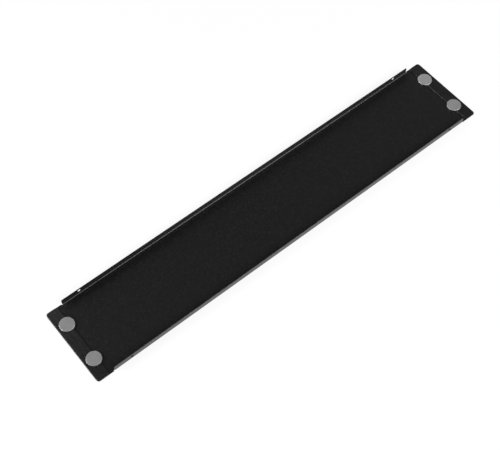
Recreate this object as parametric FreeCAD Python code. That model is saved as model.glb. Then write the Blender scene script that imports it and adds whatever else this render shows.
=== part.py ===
import FreeCAD, Part
import math
import os

# Rack blanking panel, two rack units high, held to the rails by four magnets.
# It lies on its front face, as in the photograph, and its back is up.
# Millimetres. X runs along the panel, Y across it, +Z out of its back.
# The origin is the centre of the front face. Near is -Y and left is -X.

# Folded sheet
panel_length = 482.6
panel_height = 86.9
sheet = 0.6
bend_inside_radius = 1.2

# Closed hem at each end, folded back over the body
hem_width = 13.2
hem_gap = 0.1
hem_corner_radius = 3.0

# Lips along the two long edges, which stop short of the hems
lip_depth = 7.9
lip_to_hem = 5.45
lip_corner_radius = 1.5

# Ears past the ends of the lips, and the relief slot cut between each ear and lip
ear_corner_radius = 3.0
ear_inner_corner_radius = 0.6
relief_width = 0.6
relief_depth = 1.0
relief_corner_radius = 0.2

# Holes in the lips that the panel hangs by while it is coated
hang_hole_diameter = 3.0
hang_hole_from_lip_end = 19.85
hang_hole_from_lip_edge = 3.1

# Disc magnets, two on each hem, which reach a little past its cut edge
magnet_diameter = 15.0
magnet_thickness = 1.0
magnet_edge_chamfer = 0.25
magnet_to_panel_end = 2.9
magnet_pitch = 44.2

# Ends of runs nearer than this are the same point
smallest_edge = 1e-6

# Places worked out from the sizes above
end_x = panel_length / 2
hem_cut_x = end_x - hem_width
lip_end_x = hem_cut_x - lip_to_hem
relief_x = lip_end_x + relief_width
lip_face_y = panel_height / 2
bend_outside_radius = sheet + bend_inside_radius
bend_y = lip_face_y - bend_outside_radius
relief_y = lip_face_y - relief_depth
ear_inner_round = min(ear_inner_corner_radius, relief_depth)
relief_round = min(relief_corner_radius, relief_depth - ear_inner_round, relief_width / 2)
hem_fold_radius = sheet + hem_gap / 2
hem_underside = sheet + hem_gap
hem_top = 2 * sheet + hem_gap
hang_hole_x = lip_end_x - hang_hole_from_lip_end
hang_hole_z = lip_depth - hang_hole_from_lip_edge
magnet_x = end_x - magnet_to_panel_end - magnet_diameter / 2
magnet_y = magnet_pitch / 2


def corner_arc(before, point, after, radius):
    """The start, middle and end of the arc that rounds a corner, or the corner itself."""
    if radius <= 0:
        return point, point, point
    to_before = (before - point).normalize()
    to_after = (after - point).normalize()
    half_angle = to_before.getAngle(to_after) / 2
    reach = radius / math.tan(half_angle)
    to_centre = (to_before + to_after).normalize()
    middle = point + to_centre * (radius / math.sin(half_angle) - radius)
    return point + to_before * reach, middle, point + to_after * reach


def rounded_face(corners):
    """A flat face with the given corners, each a point and the radius that rounds it."""
    points = [point for point, radius in corners]
    arcs = []
    for index, (point, radius) in enumerate(corners):
        following = points[(index + 1) % len(points)]
        arcs.append(corner_arc(points[index - 1], point, following, radius))
    edges = []
    for index, (start, middle, end) in enumerate(arcs):
        last_end = arcs[index - 1][2]
        if last_end.distanceToPoint(start) > smallest_edge:
            edges.append(Part.LineSegment(last_end, start).toShape())
        if start.distanceToPoint(end) > smallest_edge:
            edges.append(Part.Arc(start, middle, end).toShape())
    return Part.Face(Part.Wire(edges))


def plan_prism(outline, low, high):
    """A solid with the given outline, as (x, y, radius), between two heights."""
    corners = [(FreeCAD.Vector(x, y, low), radius) for x, y, radius in outline]
    return rounded_face(corners).extrude(FreeCAD.Vector(0, 0, high - low))


def hemmed_strip():
    """The body with both hems, as one section along its length, pushed across the panel."""
    slot_end_x = end_x - sheet
    right_half = [
        (end_x, 0, hem_fold_radius),
        (end_x, hem_top, hem_fold_radius),
        (hem_cut_x, hem_top, 0),
        (hem_cut_x, hem_underside, 0),
        (slot_end_x, hem_underside, hem_gap / 2),
        (slot_end_x, sheet, hem_gap / 2),
    ]
    left_half = [(-x, z, radius) for x, z, radius in reversed(right_half)]
    corners = [(FreeCAD.Vector(x, -lip_face_y, z), radius) for x, z, radius in right_half + left_half]
    return rounded_face(corners).extrude(FreeCAD.Vector(0, 2 * lip_face_y, 0))


def blank_outline():
    """The body's outline from above, with its ears and the four relief slots."""
    quarter = [
        (end_x, lip_face_y, ear_corner_radius),
        (relief_x, lip_face_y, ear_inner_round),
        (relief_x, relief_y, relief_round),
        (lip_end_x, relief_y, 0),
        (lip_end_x, bend_y, 0),
    ]
    outline = list(quarter)
    outline += [(-x, y, radius) for x, y, radius in reversed(quarter)]
    outline += [(-x, -y, radius) for x, y, radius in quarter]
    outline += [(x, -y, radius) for x, y, radius in reversed(quarter)]
    return outline


def hem_outline(side):
    """The folded-back strip's outline from above, on the right (1) or left (-1) end."""
    return [
        (side * end_x, -lip_face_y, ear_corner_radius),
        (side * end_x, lip_face_y, ear_corner_radius),
        (side * hem_cut_x, lip_face_y, hem_corner_radius),
        (side * hem_cut_x, -lip_face_y, hem_corner_radius),
    ]


def lip(side):
    """The bend and the lip on the far (1) or near (-1) long edge."""
    outer_y = side * lip_face_y
    inner_y = side * (lip_face_y - sheet)
    start_y = side * bend_y
    section = [
        (start_y, 0, 0),
        (outer_y, 0, bend_outside_radius),
        (outer_y, lip_depth, 0),
        (inner_y, lip_depth, 0),
        (inner_y, sheet, bend_inside_radius),
        (start_y, sheet, 0),
    ]
    corners = [(FreeCAD.Vector(-lip_end_x, y, z), radius) for y, z, radius in section]
    folded = rounded_face(corners).extrude(FreeCAD.Vector(2 * lip_end_x, 0, 0))
    front = [
        (-lip_end_x, 0, 0),
        (lip_end_x, 0, 0),
        (lip_end_x, lip_depth, lip_corner_radius),
        (-lip_end_x, lip_depth, lip_corner_radius),
    ]
    corners = [(FreeCAD.Vector(x, start_y, z), radius) for x, z, radius in front]
    outline = rounded_face(corners).extrude(FreeCAD.Vector(0, side * bend_outside_radius, 0))
    return folded.common(outline)


def hang_hole(side):
    """A drill through both lips, at the right (1) or left (-1) end."""
    start = FreeCAD.Vector(side * hang_hole_x, -panel_height, hang_hole_z)
    across = FreeCAD.Vector(0, 1, 0)
    return Part.makeCylinder(hang_hole_diameter / 2, 2 * panel_height, start, across)


def folded_panel():
    """The whole sheet: body, hems and lips as one solid, with its holes."""
    middle_of_gap = sheet + hem_gap / 2
    blank = plan_prism(blank_outline(), 0, middle_of_gap)
    for side in (-1, 1):
        blank = blank.fuse(plan_prism(hem_outline(side), middle_of_gap, hem_top))
    body = hemmed_strip().common(blank)
    for side in (-1, 1):
        body = body.fuse(lip(side))
    for side in (-1, 1):
        body = body.cut(hang_hole(side))
    return body.removeSplitter().Solids[0]


def magnet(x, y):
    """A disc on top of the hem, with chamfered edges, centred at x, y."""
    radius = magnet_diameter / 2
    flat_radius = radius - magnet_edge_chamfer
    top = hem_top + magnet_thickness
    section = [
        (0, hem_top),
        (flat_radius, hem_top),
        (radius, hem_top + magnet_edge_chamfer),
        (radius, top - magnet_edge_chamfer),
        (flat_radius, top),
        (0, top),
    ]
    corners = [(FreeCAD.Vector(x + across, y, z), 0) for across, z in section]
    return rounded_face(corners).revolve(FreeCAD.Vector(x, y, 0), FreeCAD.Vector(0, 0, 1), 360)


def magnets():
    """The four discs by name."""
    discs = {}
    for y_name, y_side in (("near", -1), ("far", 1)):
        for x_name, x_side in (("left", -1), ("right", 1)):
            discs[f"magnet_{y_name}_{x_name}"] = magnet(x_side * magnet_x, y_side * magnet_y)
    return discs


os.makedirs("parts", exist_ok=True)
pieces = {"panel": folded_panel()}
pieces.update(magnets())
for name, shape in pieces.items():
    shape.exportStep(os.path.join("parts", name + ".step"))
    box = shape.BoundBox
    print(name, shape.ShapeType, "valid", shape.isValid(), "volume", round(shape.Volume, 1),
          "x", round(box.XMin, 2), round(box.XMax, 2), "y", round(box.YMin, 2), round(box.YMax, 2),
          "z", round(box.ZMin, 2), round(box.ZMax, 2))
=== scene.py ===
import math
import bmesh
import bpy
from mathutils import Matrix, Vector


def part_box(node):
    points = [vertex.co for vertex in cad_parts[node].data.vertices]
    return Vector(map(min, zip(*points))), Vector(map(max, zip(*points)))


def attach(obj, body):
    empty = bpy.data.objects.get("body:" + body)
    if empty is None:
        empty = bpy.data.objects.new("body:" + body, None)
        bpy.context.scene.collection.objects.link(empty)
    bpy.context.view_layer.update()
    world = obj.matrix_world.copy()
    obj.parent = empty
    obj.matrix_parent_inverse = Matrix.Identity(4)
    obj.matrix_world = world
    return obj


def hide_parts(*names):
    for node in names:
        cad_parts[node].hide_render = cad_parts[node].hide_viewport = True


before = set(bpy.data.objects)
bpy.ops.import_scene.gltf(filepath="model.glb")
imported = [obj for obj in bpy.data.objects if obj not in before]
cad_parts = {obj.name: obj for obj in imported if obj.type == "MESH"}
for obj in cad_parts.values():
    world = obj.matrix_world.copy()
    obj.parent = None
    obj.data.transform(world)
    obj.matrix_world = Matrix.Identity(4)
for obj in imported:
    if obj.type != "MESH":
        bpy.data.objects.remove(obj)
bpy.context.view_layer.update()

# The panel is one sheet of cold-rolled steel, 0.6 mm thick. It is punched out flat with its four
# holes and relief slots, and the punch rolls over the edges of its front face. Its long edges are
# folded up as lips, and each end is folded back flat on itself as a hem. Black powder coat goes on last.
SHEET = 0.0006
BEND_INSIDE_RADIUS = 0.0012
HEM_WIDTH = 0.0132
HEM_GAP = 0.0001
HEM_CORNER_RADIUS = 0.0030
LIP_TO_HEM = 0.00545
LIP_CORNER_RADIUS = 0.0015
EAR_CORNER_RADIUS = 0.0030
EAR_INNER_CORNER_RADIUS = 0.0006
RELIEF_WIDTH = 0.0006
RELIEF_DEPTH = 0.0010
RELIEF_CORNER_RADIUS = 0.0002
HANG_HOLE_RADIUS = 0.0015
HANG_HOLE_FROM_LIP_END = 0.01985
HANG_HOLE_FROM_LIP_EDGE = 0.0031
FRONT_EDGE_RADIUS = 0.00035
BACK_EDGE_RADIUS = 0.00015

panel_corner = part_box("panel")[1]
END_X = panel_corner.x
LIP_FACE_Y = panel_corner.y
LIP_TOP_Z = panel_corner.z
HEM_CUT_X = END_X - HEM_WIDTH
LIP_END_X = HEM_CUT_X - LIP_TO_HEM

# A fold keeps the sheet's length along the middle of its thickness
HEM_FOLD_X = END_X - SHEET - HEM_GAP / 2
HEM_FOLD_LENGTH = math.pi * (SHEET + HEM_GAP) / 2
BLANK_END_X = HEM_FOLD_X + HEM_FOLD_LENGTH + HEM_FOLD_X - HEM_CUT_X
BEND_OUTSIDE_RADIUS = SHEET + BEND_INSIDE_RADIUS
LIP_BEND_Y = LIP_FACE_Y - BEND_OUTSIDE_RADIUS
LIP_BEND_LENGTH = math.pi / 2 * (BEND_INSIDE_RADIUS + SHEET / 2)
BLANK_EDGE_Y = LIP_BEND_Y + LIP_BEND_LENGTH + LIP_TOP_Z - BEND_OUTSIDE_RADIUS
HANG_HOLE_X = LIP_END_X - HANG_HOLE_FROM_LIP_END
HANG_HOLE_Y = BLANK_EDGE_Y - HANG_HOLE_FROM_LIP_EDGE


def arc(centre_x, centre_y, radius, start, end, steps):
    """Points along an arc between two angles in degrees."""
    points = []
    for step in range(steps + 1):
        angle = math.radians(start + (end - start) * step / steps)
        points.append((centre_x + radius * math.cos(angle), centre_y + radius * math.sin(angle)))
    return points


def ear_edge(blank_x):
    """Half the ear's height at a place along the flat sheet, so that it folds to a round corner."""
    past_fold = blank_x - HEM_FOLD_X
    if past_fold <= 0:
        folded_x = blank_x
    elif past_fold < HEM_FOLD_LENGTH:
        folded_x = HEM_FOLD_X + (END_X - HEM_FOLD_X) * math.sin(math.pi * past_fold / HEM_FOLD_LENGTH)
    else:
        folded_x = HEM_FOLD_X - (past_fold - HEM_FOLD_LENGTH)
    into_corner = max(folded_x - (END_X - EAR_CORNER_RADIUS), 0)
    return LIP_FACE_Y - EAR_CORNER_RADIUS + math.sqrt(max(EAR_CORNER_RADIUS**2 - into_corner**2, 0))


def blank_outline():
    """The flat sheet's outline, made from a quarter of it mirrored twice."""
    corner_steps = 12
    fold_steps = 40
    quarter = arc(BLANK_END_X - HEM_CORNER_RADIUS, LIP_FACE_Y - HEM_CORNER_RADIUS, HEM_CORNER_RADIUS,
                  0, 90, corner_steps)
    corner_reach = EAR_CORNER_RADIUS - (END_X - HEM_FOLD_X)
    corner_length = HEM_FOLD_LENGTH + 2 * corner_reach
    for step in range(fold_steps + 1):
        x = HEM_FOLD_X - corner_reach + corner_length * (1 - step / fold_steps)
        quarter.append((x, ear_edge(x)))
    quarter += arc(LIP_END_X + RELIEF_WIDTH + EAR_INNER_CORNER_RADIUS, LIP_FACE_Y - EAR_INNER_CORNER_RADIUS,
                   EAR_INNER_CORNER_RADIUS, 90, 180, corner_steps)
    relief_y = LIP_FACE_Y - RELIEF_DEPTH
    quarter += arc(LIP_END_X + RELIEF_WIDTH - RELIEF_CORNER_RADIUS, relief_y + RELIEF_CORNER_RADIUS,
                   RELIEF_CORNER_RADIUS, 0, -90, corner_steps)
    quarter.append((LIP_END_X, relief_y))
    quarter += arc(LIP_END_X - LIP_CORNER_RADIUS, BLANK_EDGE_Y - LIP_CORNER_RADIUS, LIP_CORNER_RADIUS,
                   0, 90, corner_steps)
    half = quarter + [(-x, y) for x, y in reversed(quarter)]
    return half + [(-x, -y) for x, y in half]


def inset(loop, distance):
    """A closed outline moved sideways to its left by a distance, with sharp corners kept short."""
    longest_corner = 1.5
    moved = []
    for index, point in enumerate(loop):
        before = Vector(point) - Vector(loop[index - 1])
        after = Vector(loop[(index + 1) % len(loop)]) - Vector(point)
        sideways = before.normalized() + after.normalized()
        sideways = Vector((-sideways.y, sideways.x)).normalized()
        straightness = max(sideways.dot(Vector((-before.y, before.x)).normalized()), 1 / longest_corner)
        moved.append(Vector(point) + sideways * distance / straightness)
    return moved


def punched_blank():
    """The flat sheet with the edges of both faces rounded, cut across where it will bend."""
    bend_cuts = 8
    fold_cuts = 16
    hole_steps = 24
    edge_steps = 4
    loops = [blank_outline()]
    for side_x in (-1, 1):
        for side_y in (-1, 1):
            hole = arc(side_x * HANG_HOLE_X, side_y * HANG_HOLE_Y, HANG_HOLE_RADIUS, 0, -360, hole_steps)
            loops.append(hole[:-1])
    rim_profile = arc(FRONT_EDGE_RADIUS, FRONT_EDGE_RADIUS, FRONT_EDGE_RADIUS, 270, 180, edge_steps)
    rim_profile += arc(BACK_EDGE_RADIUS, SHEET - BACK_EDGE_RADIUS, BACK_EDGE_RADIUS, 180, 90, edge_steps)
    blank = bmesh.new()
    caps = ([], [])
    for loop in loops:
        rings = []
        for inward, height in rim_profile:
            rings.append([blank.verts.new((x, y, height)) for x, y in inset(loop, inward)])
        for below, above in zip(rings, rings[1:]):
            for index in range(len(loop)):
                blank.faces.new((below[index - 1], below[index], above[index], above[index - 1]))
        for cap, ring in zip(caps, (rings[0], rings[-1])):
            cap += [blank.edges.get((ring[index - 1], ring[index])) for index in range(len(loop))]
    for cap in caps:
        bmesh.ops.triangle_fill(blank, edges=cap, use_beauty=True)
    bmesh.ops.recalc_face_normals(blank, faces=blank.faces[:])
    lines = [(Vector((0, 1, 0)), LIP_BEND_Y, LIP_BEND_LENGTH, bend_cuts),
             (Vector((1, 0, 0)), HEM_FOLD_X, HEM_FOLD_LENGTH, fold_cuts)]
    for across, start, length, cuts in lines:
        for cut in range(cuts + 1):
            for side in (-1, 1):
                place = side * (start + length * cut / cuts)
                everything = blank.verts[:] + blank.edges[:] + blank.faces[:]
                bmesh.ops.bisect_plane(blank, geom=everything, plane_co=across * place, plane_no=across)
    for face in blank.faces:
        face.smooth = True
    mesh = bpy.data.meshes.new("panel_blank")
    blank.to_mesh(mesh)
    blank.free()
    return mesh


def feed(tree, node, values):
    """Fills a node's live inputs in order, from sockets or plain values."""
    live = [socket for socket in node.inputs if socket.enabled]
    for socket, value in zip(live, values):
        if isinstance(value, bpy.types.NodeSocket):
            tree.links.new(value, socket)
        else:
            socket.default_value = value


def maths(tree, operation, *values):
    """The output of a maths node."""
    node = tree.nodes.new("ShaderNodeMath")
    node.operation = operation
    feed(tree, node, values)
    return node.outputs[0]


def vector_maths(tree, operation, *values):
    """The output of a vector maths node."""
    node = tree.nodes.new("ShaderNodeVectorMath")
    node.operation = operation
    feed(tree, node, values)
    return next(socket for socket in node.outputs if socket.enabled)


def distance_along(tree, place, axis):
    """How far a place lies along an axis from the origin."""
    return vector_maths(tree, "DOT_PRODUCT", place, axis)


def geometry(tree, kind, *values):
    """The first output of a geometry node."""
    node = tree.nodes.new("GeometryNode" + kind)
    feed(tree, node, values)
    return next(socket for socket in node.outputs if socket.enabled)


def new_tree(name, inputs):
    """A geometry tree with geometry in and out and the given named inputs."""
    tree = bpy.data.node_groups.new(name, "GeometryNodeTree")
    tree.interface.new_socket("Geometry", in_out="INPUT", socket_type="NodeSocketGeometry")
    tree.interface.new_socket("Geometry", in_out="OUTPUT", socket_type="NodeSocketGeometry")
    for input_name, kind in inputs:
        tree.interface.new_socket(input_name, in_out="INPUT", socket_type="NodeSocket" + kind)
    given = tree.nodes.new("NodeGroupInput").outputs
    result = tree.nodes.new("NodeGroupOutput").inputs["Geometry"]
    return tree, given, result


def fold_rule():
    """Nodes that fold a flat sheet up along two lines, one each side of its middle.

    A point past the line goes round the bend at the radius of its own layer of the sheet,
    and what is left of its distance runs straight on at the full angle.
    """
    tree, given, result = new_tree("fold_up", [
        ("Across", "Vector"), ("Along", "Vector"), ("Fold Line", "Float"), ("Fold Reach", "Float"),
        ("Sheet", "Float"), ("Inside Radius", "Float"), ("Angle", "Float")])
    position = geometry(tree, "InputPosition")
    height = distance_along(tree, position, (0, 0, 1))
    signed = distance_along(tree, position, given["Across"])
    along = maths(tree, "ABSOLUTE", distance_along(tree, position, given["Along"]))
    distance = maths(tree, "ABSOLUTE", signed)
    past = maths(tree, "MAXIMUM", maths(tree, "SUBTRACT", distance, given["Fold Line"]), 0.0)
    past = maths(tree, "MULTIPLY", past, maths(tree, "LESS_THAN", along, given["Fold Reach"]))
    straight = maths(tree, "SUBTRACT", distance, past)
    middle_radius = maths(tree, "MULTIPLY_ADD", given["Sheet"], 0.5, given["Inside Radius"])
    turn = maths(tree, "MINIMUM", maths(tree, "DIVIDE", past, middle_radius), given["Angle"])
    beyond = maths(tree, "SUBTRACT", past, maths(tree, "MULTIPLY", middle_radius, turn))
    sine = maths(tree, "SINE", turn)
    cosine = maths(tree, "COSINE", turn)
    centre_height = maths(tree, "ADD", given["Sheet"], given["Inside Radius"])
    radius = maths(tree, "SUBTRACT", centre_height, height)
    folded = maths(tree, "MULTIPLY_ADD", radius, sine, straight)
    folded = maths(tree, "MULTIPLY_ADD", beyond, cosine, folded)
    folded = maths(tree, "MULTIPLY", folded, maths(tree, "SIGN", signed))
    drop = maths(tree, "MULTIPLY", radius, cosine)
    rise = maths(tree, "SUBTRACT", centre_height, drop)
    rise = maths(tree, "MULTIPLY_ADD", beyond, sine, rise)
    sideways = vector_maths(tree, "SCALE", given["Across"], maths(tree, "SUBTRACT", folded, signed))
    upward = vector_maths(tree, "SCALE", (0, 0, 1), maths(tree, "SUBTRACT", rise, height))
    offset = vector_maths(tree, "ADD", sideways, upward)
    move = tree.nodes.new("GeometryNodeSetPosition")
    tree.links.new(given["Geometry"], move.inputs["Geometry"])
    tree.links.new(offset, move.inputs["Offset"])
    tree.links.new(move.outputs[0], result)
    return tree


def press_brake():
    """Nodes that fold the lips along the long edges, and then the hems at the ends."""
    tree, given, result = new_tree("press_brake", [
        ("Sheet", "Float"), ("Lip Line", "Float"), ("Lip Radius", "Float"), ("Lip Reach", "Float"),
        ("Hem Line", "Float"), ("Hem Radius", "Float"), ("Hem Reach", "Float"), ("Finish", "Material")])
    rule = fold_rule()
    shape = given["Geometry"]
    folds = [("Lip", (0, 1, 0), (1, 0, 0), math.pi / 2), ("Hem", (1, 0, 0), (0, 1, 0), math.pi)]
    for name, across, along, angle in folds:
        fold = tree.nodes.new("GeometryNodeGroup")
        fold.node_tree = rule
        feed(tree, fold, [shape, across, along, given[name + " Line"], given[name + " Reach"],
                          given["Sheet"], given[name + " Radius"], angle])
        shape = fold.outputs["Geometry"]
    shape = geometry(tree, "RealizeInstances", shape)
    tree.links.new(geometry(tree, "SetMaterial", shape, True, given["Finish"]), result)
    return tree


def made_real(name, mesh, tree, values):
    """Runs a geometry tree on a mesh with the named values and returns a plain mesh object."""
    largest_face_decides = 100
    source = bpy.data.objects.new(name + "_source", mesh)
    bpy.context.scene.collection.objects.link(source)
    shaping = source.modifiers.new("shaping", "NODES")
    shaping.node_group = tree
    for item in tree.interface.items_tree:
        if item.in_out == "INPUT" and item.name in values:
            shaping[item.identifier] = values[item.name]
    flat_faces_stay_flat = source.modifiers.new("flat_faces_stay_flat", "WEIGHTED_NORMAL")
    flat_faces_stay_flat.weight = largest_face_decides
    bpy.context.view_layer.update()
    evaluated = source.evaluated_get(bpy.context.evaluated_depsgraph_get())
    made = bpy.data.objects.new(name, bpy.data.meshes.new_from_object(evaluated))
    made.data.name = name
    bpy.context.scene.collection.objects.link(made)
    bpy.data.objects.remove(source)
    return made


def smooth_step(tree, value, low, high, at_low, at_high):
    """The output of a smooth step from one value to another."""
    node = tree.nodes.new("ShaderNodeMapRange")
    node.interpolation_type = "SMOOTHSTEP"
    feed(tree, node, [value, low, high, at_low, at_high])
    return node.outputs[0]


def noise(tree, place, scale, detail, stretch=(1, 1, 1)):
    """Noise from 0 to 1 with features of about one over the scale, in metres."""
    fine_share = 0.68
    mapping = tree.nodes.new("ShaderNodeMapping")
    mapping.inputs["Scale"].default_value = stretch
    tree.links.new(place, mapping.inputs["Vector"])
    node = tree.nodes.new("ShaderNodeTexNoise")
    node.inputs["Scale"].default_value = scale
    node.inputs["Detail"].default_value = detail
    node.inputs["Roughness"].default_value = fine_share
    tree.links.new(mapping.outputs["Vector"], node.inputs["Vector"])
    return node.outputs["Fac"]


def bump(tree, height, distance, normal=None):
    """The normal of a surface raised by a height map."""
    node = tree.nodes.new("ShaderNodeBump")
    node.inputs["Distance"].default_value = distance
    tree.links.new(height, node.inputs["Height"])
    if normal:
        tree.links.new(normal, node.inputs["Normal"])
    return node.outputs["Normal"]


def growing_along(tree, place, direction):
    """A value that is a quarter in the panel's middle and grows as a square in a direction."""
    in_middle = 0.5
    way = maths(tree, "ADD", distance_along(tree, place, direction), in_middle)
    return maths(tree, "POWER", maths(tree, "MAXIMUM", way, 0), 2)


def powder_coat():
    """Black satin powder coat: a skin with a fine orange peel, greyer at the ends.

    The colour is greyer at the folded ends and on the hems, most towards the far left. The lips'
    outer faces and the front are painted greyer, a painted sheen for the light that falls on the near
    lip. A painted shadow darkens the corner beside each hem's cut edge. The tool that flattened the
    fold left faint marks on the hems.
    Shades are parts of full white, and places and depths are in metres.
    """
    body_shade, blackest_shade, outer_painted_sheen = 0.0010, 0.0004, 0.0240
    end_shade, hem_shade, far_left_hem_shade = 0.0050, 0.0020, 0.0070
    mottle_shade, streak_shade, noise_middle = 0.0660, 0.0320, 0.5
    far_left_direction = (-0.75, 8.5, 0)
    end_starts = 0.190
    hem_blur = 0.0002
    corner_shadow_starts, corner_shadow_full = 0.0018, 0.0010
    outer_starts, outer_full = 0.0004, 0.0001
    mottle_scale, mottle_detail, peel_depth = 680, 4, 0.000100
    streak_scale, streak_detail, streak_stretch = 900, 2, (1, 0.06, 1)
    grain_scale, grain_detail, grain_depth = 2600, 2, 0.000015
    satin_roughness, coat_ior = 0.42, 1.7
    material = bpy.data.materials.new("black_powder_coat")
    material.use_nodes = True
    tree = material.node_tree
    coat = tree.nodes["Principled BSDF"]
    coat.inputs["Roughness"].default_value = satin_roughness
    coat.inputs["IOR"].default_value = coat_ior
    place = tree.nodes.new("ShaderNodeTexCoord").outputs["Object"]
    from_middle = maths(tree, "ABSOLUTE", distance_along(tree, place, (1, 0, 0)))
    from_centre_line = maths(tree, "ABSOLUTE", distance_along(tree, place, (0, 1, 0)))
    above_front = distance_along(tree, place, (0, 0, 1))

    # The lips' outer faces and the front get a painted sheen: they are painted greyer for the light on the
    # near lip.
    on_lip_face = smooth_step(tree, from_centre_line, LIP_FACE_Y - outer_starts,
                              LIP_FACE_Y - outer_full, 0, 1)
    on_front = smooth_step(tree, above_front, outer_full, outer_starts, 1, 0)
    on_outer_face = maths(tree, "MAXIMUM", on_lip_face, on_front)
    on_back = maths(tree, "SUBTRACT", 1.0, on_outer_face)
    near_end = smooth_step(tree, from_middle, end_starts, END_X, 0, 1)
    near_end = maths(tree, "MULTIPLY", near_end, on_back)
    on_hem = smooth_step(tree, from_middle, HEM_CUT_X - hem_blur, HEM_CUT_X + hem_blur, 0, 1)
    on_hem = maths(tree, "MULTIPLY", on_hem, on_back)
    # A painted shadow: the body is darkened in the corner beside each hem's cut edge.
    corner_shadow = smooth_step(tree, from_middle, HEM_CUT_X - corner_shadow_starts, HEM_CUT_X - corner_shadow_full, 0, 1)
    corner_shadow = maths(tree, "MULTIPLY", corner_shadow, maths(tree, "SUBTRACT", on_back, on_hem))

    # The ends and the hems are greyer, most towards the far left.
    towards_far_left = growing_along(tree, place, far_left_direction)
    mottle = noise(tree, place, mottle_scale, mottle_detail)
    streaks = noise(tree, place, streak_scale, streak_detail, streak_stretch)
    marks = maths(tree, "MULTIPLY", maths(tree, "SUBTRACT", streaks, noise_middle), on_hem)
    on_hem_shade = maths(tree, "MULTIPLY_ADD", towards_far_left, far_left_hem_shade, hem_shade)
    shade = maths(tree, "MULTIPLY_ADD", maths(tree, "MULTIPLY", near_end, towards_far_left), end_shade, body_shade)
    shade = maths(tree, "MULTIPLY_ADD", on_hem, on_hem_shade, shade)
    # The painted sheen on the outer faces.
    shade = maths(tree, "MULTIPLY_ADD", on_outer_face, outer_painted_sheen, shade)
    shade = maths(tree, "MULTIPLY_ADD", maths(tree, "SUBTRACT", mottle, noise_middle), mottle_shade, shade)
    shade = maths(tree, "MULTIPLY_ADD", marks, streak_shade, shade)
    # The painted shadow in the corner beside each hem's cut edge.
    shade = maths(tree, "MULTIPLY", shade, maths(tree, "SUBTRACT", 1.0, corner_shadow))
    shade = maths(tree, "MAXIMUM", shade, blackest_shade)
    tree.links.new(shade, coat.inputs["Base Color"])

    orange_peel = bump(tree, mottle, peel_depth)
    grain = bump(tree, noise(tree, place, grain_scale, grain_detail), grain_depth, orange_peel)
    tree.links.new(grain, coat.inputs["Normal"])
    return material


panel = made_real("panel_sheet", punched_blank(), press_brake(), {
    "Sheet": SHEET, "Lip Line": LIP_BEND_Y, "Lip Radius": BEND_INSIDE_RADIUS,
    "Lip Reach": LIP_END_X + RELIEF_WIDTH / 2, "Hem Line": HEM_FOLD_X, "Hem Radius": HEM_GAP / 2,
    "Hem Reach": BLANK_EDGE_Y, "Finish": powder_coat()})
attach(panel, "root")
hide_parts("panel")

# The four magnets are plain sintered discs, 15 mm across and 1 mm thick, nickel plated and tumbled
# so that their edges are round. Each is glued flat on a hem and reaches a little past its cut edge.
near_left_low, near_left_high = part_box("magnet_near_left")
far_right_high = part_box("magnet_far_right")[1]
MAGNET_RADIUS = (near_left_high.x - near_left_low.x) / 2
MAGNET_BASE_Z = near_left_low.z
MAGNET_TOP_Z = near_left_high.z
MAGNET_EDGE_RADIUS = 0.00030
MAGNET_SPACING_X = far_right_high.x - near_left_high.x
MAGNET_SPACING_Y = far_right_high.y - near_left_high.y


def disc_section():
    """Half the disc's section, as a line from the middle of its base round to the middle of its top."""
    mesh = bpy.data.meshes.new("magnet_section")
    corners = [(-MAGNET_RADIUS, MAGNET_BASE_Z), (0, MAGNET_BASE_Z), (0, MAGNET_TOP_Z),
               (-MAGNET_RADIUS, MAGNET_TOP_Z)]
    mesh.from_pydata([(x, -z, 0) for x, z in corners], [(0, 1), (1, 2), (2, 3)], [])
    return mesh


def four_discs():
    """Nodes that round a section's corners, turn it into a disc and set one at each corner."""
    tree, given, result = new_tree("four_discs", [
        ("Radius", "Float"), ("Edge Radius", "Float"), ("Spacing X", "Float"), ("Spacing Y", "Float"),
        ("Finish", "Material")])
    round_steps = 96
    edge_steps = 6
    closing_distance = 1e-6
    section = geometry(tree, "MeshToCurve", given["Geometry"])
    rounding = tree.nodes.new("GeometryNodeFilletCurve")
    rounding.mode = "POLY"
    feed(tree, rounding, [section, edge_steps, given["Edge Radius"], True])
    circle = geometry(tree, "CurvePrimitiveCircle", round_steps, given["Radius"])
    disc = geometry(tree, "CurveToMesh", circle, rounding.outputs[0])
    disc = geometry(tree, "MergeByDistance", disc, True, closing_distance)
    disc = geometry(tree, "SetShadeSmooth", disc, True, True)
    corners = geometry(tree, "MeshGrid", given["Spacing X"], given["Spacing Y"], 2, 2)
    discs = geometry(tree, "RealizeInstances", geometry(tree, "InstanceOnPoints", corners, True, disc))
    tree.links.new(geometry(tree, "SetMaterial", discs, True, given["Finish"]), result)
    return tree


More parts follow.
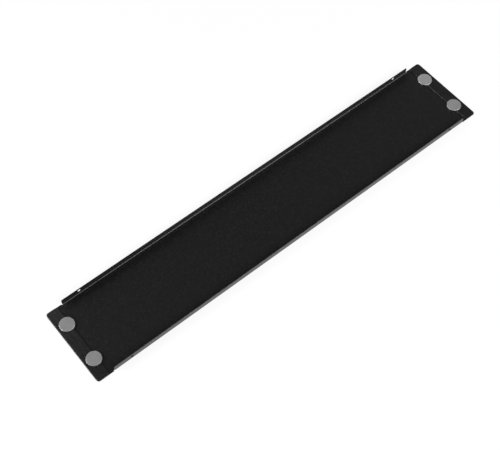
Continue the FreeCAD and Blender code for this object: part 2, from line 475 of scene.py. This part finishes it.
def nickel_plating():
    """Satin nickel, with the fine random marks that tumbling leaves and a few light scratches.

    The discs are painted lighter towards the far right, a painted light for the light the grey card keeps
    from the right-hand discs.
    """
    darkest_shade, disc_painted_light, cloud_shade, scratch_shade = 0.54, 0.33, 0.10, 0.06
    painted_light_direction = (1.4, 4.6, 0)
    cloud_scale, cloud_detail = 160, 2
    grain_scale, grain_detail, grain_depth = 2200, 3, 0.000004
    scratch_scale, scratch_middle, scratch_edge = 55, 0.004, 0.016
    smoothest, grain_roughness = 0.50, 0.10
    material = bpy.data.materials.new("satin_nickel_plating")
    material.use_nodes = True
    tree = material.node_tree
    metal = tree.nodes["Principled BSDF"]
    metal.inputs["Metallic"].default_value = 1
    place = tree.nodes.new("ShaderNodeTexCoord").outputs["Object"]
    cloud = noise(tree, place, cloud_scale, cloud_detail)
    grain = noise(tree, place, grain_scale, grain_detail)
    scratches = tree.nodes.new("ShaderNodeTexVoronoi")
    scratches.feature = "DISTANCE_TO_EDGE"
    scratches.inputs["Scale"].default_value = scratch_scale
    tree.links.new(place, scratches.inputs["Vector"])
    scratched = smooth_step(tree, scratches.outputs["Distance"], scratch_middle, scratch_edge, 1, 0)
    # Painted light: the discs are painted lighter towards the far right.
    painted_light_share = growing_along(tree, place, painted_light_direction)
    shade = maths(tree, "MULTIPLY_ADD", painted_light_share, disc_painted_light, darkest_shade)
    shade = maths(tree, "MULTIPLY_ADD", cloud, cloud_shade, shade)
    shade = maths(tree, "MULTIPLY_ADD", scratched, scratch_shade, shade)
    tree.links.new(shade, metal.inputs["Base Color"])
    rough = maths(tree, "MULTIPLY_ADD", grain, grain_roughness, smoothest)
    tree.links.new(rough, metal.inputs["Roughness"])
    tree.links.new(bump(tree, grain, grain_depth), metal.inputs["Normal"])
    return material


magnets = made_real("magnet_discs", disc_section(), four_discs(), {
    "Radius": MAGNET_RADIUS, "Edge Radius": MAGNET_EDGE_RADIUS, "Spacing X": MAGNET_SPACING_X,
    "Spacing Y": MAGNET_SPACING_Y, "Finish": nickel_plating()})
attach(magnets, "root")
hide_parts("magnet_near_left", "magnet_near_right", "magnet_far_left", "magnet_far_right")

# The floor is a white sweep. The camera and reflections see most of it as plain white, and the
# rest of what they see is its real shade, so that the object's shadow stays on it.
FLOOR_SIZE = 30
FLOOR_SHADE = 0.85
FLOOR_WHITENESS = 0.78
FLOOR_GLOW = 1.10
floor_mesh = bpy.data.meshes.new("floor")
half_size = FLOOR_SIZE / 2
floor_corners = [(-half_size, -half_size, 0), (half_size, -half_size, 0),
                 (half_size, half_size, 0), (-half_size, half_size, 0)]
floor_mesh.from_pydata(floor_corners, [], [(0, 1, 2, 3)])
floor = bpy.data.objects.new("floor", floor_mesh)
bpy.context.scene.collection.objects.link(floor)
white_sweep = bpy.data.materials.new("white_sweep")
white_sweep.use_nodes = True
sweep_tree = white_sweep.node_tree
matt_paper = sweep_tree.nodes["Principled BSDF"]
matt_paper.inputs["Base Color"].default_value = (FLOOR_SHADE, FLOOR_SHADE, FLOOR_SHADE, 1)
matt_paper.inputs["Roughness"].default_value = 1
ray = sweep_tree.nodes.new("ShaderNodeLightPath").outputs
seen = maths(sweep_tree, "MAXIMUM", ray["Is Camera Ray"], ray["Is Glossy Ray"])
seen = maths(sweep_tree, "MAXIMUM", seen, ray["Is Transmission Ray"])
plain_white = sweep_tree.nodes.new("ShaderNodeEmission")
plain_white.inputs["Strength"].default_value = FLOOR_GLOW
both = sweep_tree.nodes.new("ShaderNodeMixShader")
sweep_tree.links.new(maths(sweep_tree, "MULTIPLY", seen, FLOOR_WHITENESS), both.inputs[0])
sweep_tree.links.new(matt_paper.outputs[0], both.inputs[1])
sweep_tree.links.new(plain_white.outputs[0], both.inputs[2])
sweep_tree.links.new(both.outputs[0], sweep_tree.nodes["Material Output"].inputs["Surface"])
floor_mesh.materials.append(white_sweep)

# The room round the sweep is a light tent with white walls, a dark top and a grey card to the
# right. Its near side, where the camera looks in, is darker. The camera sees it as white all over.
# Where each of these starts or ends is given as a direction's share of straight up, right or far.
WALL_LEVEL = 0.75
TOP_LEVEL = 0.02
WALL_ENDS = 0.36
TOP_STARTS = 0.84
CARD_LEVEL = 0.25
CARD_STARTS = 0.50
CARD_FULL = 0.90
NEAR_LEVEL = 0.30
NEAR_REACH = 0.30
room = bpy.data.worlds.new("light_tent")
bpy.context.scene.world = room
room.use_nodes = True
tent = room.node_tree
direction = tent.nodes.new("ShaderNodeTexCoord").outputs["Generated"]
upward = distance_along(tent, direction, (0, 0, 1))
to_right = distance_along(tent, direction, (1, 0, 0))
to_far = distance_along(tent, direction, (0, 1, 0))
wall = smooth_step(tent, upward, WALL_ENDS, TOP_STARTS, WALL_LEVEL, TOP_LEVEL)
card = smooth_step(tent, to_right, CARD_STARTS, CARD_FULL, 1, CARD_LEVEL)
opening = smooth_step(tent, to_far, -NEAR_REACH, NEAR_REACH, NEAR_LEVEL, 1)
tent_level = maths(tent, "MULTIPLY", maths(tent, "MULTIPLY", wall, card), opening)
camera_ray = tent.nodes.new("ShaderNodeLightPath").outputs["Is Camera Ray"]
level = maths(tent, "MAXIMUM", tent_level, camera_ray)
tent.links.new(level, tent.nodes["Background"].inputs["Strength"])
tent.nodes["Background"].inputs["Color"].default_value = (1, 1, 1, 1)


# Two soft boxes stand 1.6 m away: one on the near side and a little to the right, and one on the
# left, lower down and a little behind the panel. Both are far brighter than the tent's walls.
def soft_box(name, toward, distance, width, height, brightness):
    """A rectangular lamp that faces the object from the given direction. Brightness 1 is white."""
    data = bpy.data.lights.new(name, "AREA")
    data.shape = "RECTANGLE"
    data.size = width
    data.size_y = height
    data.energy = brightness * math.pi * width * height
    lamp = bpy.data.objects.new(name, data)
    bpy.context.scene.collection.objects.link(lamp)
    away = Vector(toward).normalized()
    lamp.location = away * distance
    lamp.rotation_euler = away.to_track_quat("Z", "Y").to_euler()


soft_box("near_soft_box", toward=(0.33, -0.73, 0.63), distance=1.6, width=0.9, height=0.7, brightness=9.0)
soft_box("left_soft_box", toward=(-0.80, 0.40, 0.42), distance=1.6, width=0.9, height=0.6, brightness=10.0)

# The camera stands at the near left and above, and looks down across the panel. Its turn is in
# degrees, and its lens and sensor are in millimetres.
CAMERA_PLACE = (-0.35343, -0.40105, 0.86235)
CAMERA_TURN = (30.843, 0.0205, -38.968)
LENS = 73.165
SENSOR_WIDTH = 36
camera_data = bpy.data.cameras.new("camera")
camera_data.lens = LENS
camera_data.sensor_width = SENSOR_WIDTH
camera = bpy.data.objects.new("camera", camera_data)
bpy.context.scene.collection.objects.link(camera)
camera.location = CAMERA_PLACE
camera.rotation_euler = [math.radians(angle) for angle in CAMERA_TURN]
bpy.context.scene.camera = camera
bpy.context.scene.view_settings.view_transform = "Standard"
